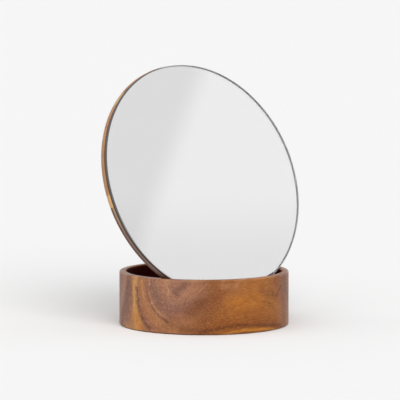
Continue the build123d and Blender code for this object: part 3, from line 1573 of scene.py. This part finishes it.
@dataclass
class Mirror:
    """Round mirror: glass, silver, tape strips and three boards glued edge to edge."""

    lean: Lean
    segments: int = 360
    glass_bevel: float = 1.1 * MM
    glass_arris: float = 0.3 * MM
    silver_gap: float = 0.02 * MM
    silver_round_share: float = 1 / 3
    silver_steps: int = 2
    tape_round: float = 0.15 * MM
    tape_steps: int = 2
    board_round: float = 0.5 * MM
    board_steps: int = 3
    smooth_angle: float = 32.0
    tapes: tuple[str, ...] = ("left_tape_strip", "middle_tape_strip", "right_tape_strip")
    boards: tuple[tuple[str, type[BoardWood]], ...] = (
        ("lower_backing_board", LowerBoard),
        ("middle_backing_board", MiddleBoard),
        ("upper_backing_board", UpperBoard),
    )

    def build(self) -> list[Piece]:
        """Models, dresses and hands in every piece of the mirror.

        Returns:
            The pieces, from the glass back to the boards.
        """
        pieces = [self.glass(), self.silver()]
        foam = FoamTape().material()
        pieces += [self.tape(node, foam) for node in self.tapes]
        pieces += [self.board(node, wood) for node, wood in self.boards]
        return pieces

    def set_in_place(self, piece: Piece, right: float, up: float) -> None:
        """Leans a flat piece back into its place, and smooths it.

        Args:
            piece: The piece, modelled flat about its own centre.
            right: Where its centre lies to the right.
            up: Where its centre lies up the face.
        """
        piece.place(self.lean.turn @ Matrix.Translation((right, up, 0.0)))
        piece.smooth(self.smooth_angle)

    def glass(self) -> Piece:
        """Models and dresses the glass: polished faces, and a ground edge with a narrow bevel.

        Returns:
            The glass.
        """
        node = "mirror_glass"
        back, front = self.lean.span(node, Axis.OUT)
        radius = self.lean.width(node, Axis.RIGHT) / 2
        glass = Piece.round("bevelled_glass", self.segments, radius, (back, front))
        glass.round_ring(radius, front, self.glass_bevel, CHAMFER)
        glass.round_ring(radius, back, self.glass_arris, CHAMFER)
        glass.part_finishes(lambda face: abs(face.normal.z) > FACING)
        self.set_in_place(glass, 0.0, self.lean.middle(node, Axis.UP))
        edge = GroundEdge(plate=self.lean.plate(node), bevel=self.glass_bevel / MM)
        glass.dress(ClearGlass().material(), edge.material())
        glass.hand_in(Body.MIRROR, Slot.GLASS, node)
        return glass

    def silver(self) -> Piece:
        """Models and dresses the silver, which is painted on its back and rim.

        Returns:
            The silver.
        """
        node = "silvering"
        back, front = self.lean.span(node, Axis.OUT)
        radius = self.lean.width(node, Axis.RIGHT) / 2
        silver = Piece.round("silvered_back", self.segments, radius, (back, front - self.silver_gap))
        silver.round_ring(radius, back, (front - back) * self.silver_round_share, self.silver_steps)
        silver.part_finishes(lambda face: face.normal.z > FACING)
        self.set_in_place(silver, 0.0, self.lean.middle("mirror_glass", Axis.UP))
        silver.dress(MirrorSilver().material(), BackPaint().material())
        silver.hand_in(Body.MIRROR, Slot.SILVER, node)
        return silver

    def tape(self, node: str, foam: bpy.types.Material) -> Piece:
        """Models and dresses one strip of tape.

        Args:
            node: CAD node that it stands for.
            foam: Its material.

        Returns:
            The strip.
        """
        back, front = self.lean.span(node, Axis.OUT)
        width, length = self.lean.width(node, Axis.RIGHT), self.lean.width(node, Axis.UP)
        strip = Piece(f"foam_{node}", bpy.ops.mesh.primitive_plane_add, size=1.0, location=(0.0, 0.0, back))
        strip.place(Matrix.Diagonal((width, length, 1.0, 1.0)))
        with strip.editing(Pick.FACES):
            bpy.ops.mesh.extrude_region_move(TRANSFORM_OT_translate={"value": (0.0, 0.0, front - back)})
            bpy.ops.mesh.select_all(action="SELECT")
            bpy.ops.mesh.normals_make_consistent(inside=False)
        with strip.editing(Pick.EDGES):
            bpy.ops.mesh.bevel(offset=self.tape_round, segments=self.tape_steps, affect="EDGES")
        self.set_in_place(strip, self.lean.middle(node, Axis.RIGHT), self.lean.middle(node, Axis.UP))
        strip.dress(foam)
        strip.hand_in(Body.MIRROR, Slot.TAPE, node)
        return strip

    def board(self, node: str, wood: type[BoardWood]) -> Piece:
        """Models and dresses one board: a slice of the whole disc, rounded along its rim only.

        Args:
            node: CAD node that it stands for.
            wood: Its finish.

        Returns:
            The board.
        """
        back, front = self.lean.span(node, Axis.OUT)
        radius = self.lean.width("middle_backing_board", Axis.RIGHT) / 2
        centre = self.lean.span("lower_backing_board", Axis.UP)[0] + radius
        board = Piece.round(f"oiled_{node}", self.segments, radius, (back, front))
        board.round_ring(radius, front, self.board_round, self.board_steps)
        board.round_ring(radius, back, self.board_round, self.board_steps)
        for end, side in zip(self.lean.span(node, Axis.UP), (-1.0, 1.0)):
            joint = end - centre
            if abs(joint) > radius - SLACK:
                continue
            with board.editing(Pick.FACES):
                bpy.ops.mesh.bisect(
                    plane_co=(0.0, joint, 0.0), plane_no=(0.0, side, 0.0), use_fill=True, clear_outer=True
                )
        self.set_in_place(board, 0.0, centre)
        _, tray_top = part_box("tray")
        finish = wood(plate=self.lean.plate(node), rim_level=tray_top.z / MM)
        board.dress(finish.material())
        board.hand_in(Body.MIRROR, Slot.BACKING_WOOD, node)
        return board


@dataclass(frozen=True)
class Lamp:
    """Broad, even lamp.

    Its level is the light on a face square to it, where 1 shows a colour as it is written. Its turn to
    the right of the camera, its height above the floor and its spread are in degrees.
    """

    name: str
    level: float
    turn: float
    height: float
    spread: float


@dataclass
class Studio:
    """Pale floor, soft light and the camera."""

    floor_size: float = 90.0
    sky_level: float = 0.52
    lamps: tuple[Lamp, ...] = (
        Lamp("key_lamp", level=0.62, turn=14.0, height=35.0, spread=40.0),
        Lamp("fill_lamp", level=0.20, turn=-60.0, height=40.0, spread=80.0),
    )
    eye: Point = (-1.5812, -1.9365, 0.3517)
    eye_turn: float = -39.14
    eye_dip: float = 5.19
    lens: float = 225.54
    sensor: float = 36.0

    # Backdrop, and the soft edge and fall of light that show in the mirror
    backdrop: float = 0.92
    shaded_backdrop: float = 0.78
    soft_edge: Point = (0.7207, 0.2498, -0.6467)
    soft_edge_reach: Reach = (-0.0055, 0.0065)
    fall: Point = (0.0571, 0.5792, 0.8132)
    fall_reach: Reach = (-0.027, 0.006)
    fall_level: float = 0.89

    def build(self) -> None:
        """Sets the whole studio up."""
        self.lay_floor()
        self.light_world()
        for lamp in self.lamps:
            self.hang_lamp(lamp)
        self.set_camera()
        bpy.context.scene.view_settings.view_transform = "Standard"

    def lay_floor(self) -> None:
        """Lays a plain pale floor."""
        bpy.ops.object.select_all(action="DESELECT")
        bpy.ops.mesh.primitive_plane_add(size=self.floor_size)
        floor = bpy.context.active_object
        floor.name = "studio_floor"
        floor.data.materials.append(FloorPaper().material())

    def light_world(self) -> None:
        """Fills the room with even light, and shows the pale backdrop to the eye and in reflections."""
        world = bpy.data.worlds.new("studio_room")
        world.use_nodes = True
        bpy.context.scene.world = world
        tree = world.node_tree
        tree.nodes.clear()
        direction = coordinates(tree, "Generated")
        side = direction.along(self.soft_edge).rise(*self.soft_edge_reach)
        shown = mix(side, grey(self.shaded_backdrop), grey(self.backdrop))
        fall = direction.along(self.fall).rise(*self.fall_reach, self.fall_level, 1.0)
        shown = mix(1.0, shown, fall, "MULTIPLY")
        straight = Value(add_node(tree, "LightPath", {}), "Is Camera Ray")
        shown = mix(straight, shown, grey(self.backdrop))
        colour = mix(seen_or_mirrored(tree), grey(self.sky_level), shown)
        light = colour.then("Background", {"Color": colour, "Strength": 1.0})
        add_node(tree, "OutputWorld", {"Surface": light})

    def stand(self, data: bpy.types.Light | bpy.types.Camera, dip: float, turn: float) -> bpy.types.Object:
        """Adds a lamp or the camera to the scene.

        Args:
            data: The lamp or camera.
            dip: Degrees that it looks down.
            turn: Degrees that it is turned to the left.

        Returns:
            Its object.
        """
        made = bpy.data.objects.new(data.name, data)
        bpy.context.scene.collection.objects.link(made)
        made.rotation_euler = (math.radians(LEVEL - dip), 0.0, math.radians(turn))
        return made

    def hang_lamp(self, lamp: Lamp) -> None:
        """Hangs one lamp.

        Args:
            lamp: What it is like.
        """
        sun = bpy.data.lights.new(lamp.name, "SUN")
        sun.energy = lamp.level * math.pi
        sun.angle = math.radians(lamp.spread)
        self.stand(sun, lamp.height, self.eye_turn + lamp.turn)

    def set_camera(self) -> None:
        """Sets the camera at the height and turn of the picture."""
        camera = bpy.data.cameras.new("studio_camera")
        camera.lens = self.lens
        camera.sensor_width = self.sensor
        made = self.stand(camera, self.eye_dip, self.eye_turn)
        made.location = self.eye
        bpy.context.scene.camera = made


def main() -> None:
    """Builds the object and its studio in order, and reports each piece."""
    logging.basicConfig(level=logging.INFO, format="%(message)s")
    lean = Lean(Vector(frame["joints"][0]["axis"]).normalized())
    for assembly in (Tray(lean), FeltPads(), Mirror(lean)):
        for piece in assembly.build():
            mesh = piece.object.data
            log.info("%s: %d faces on body %s", mesh.name, len(mesh.polygons), piece.body.value)
    Studio().build()


if __name__ == "__main__":
    main()
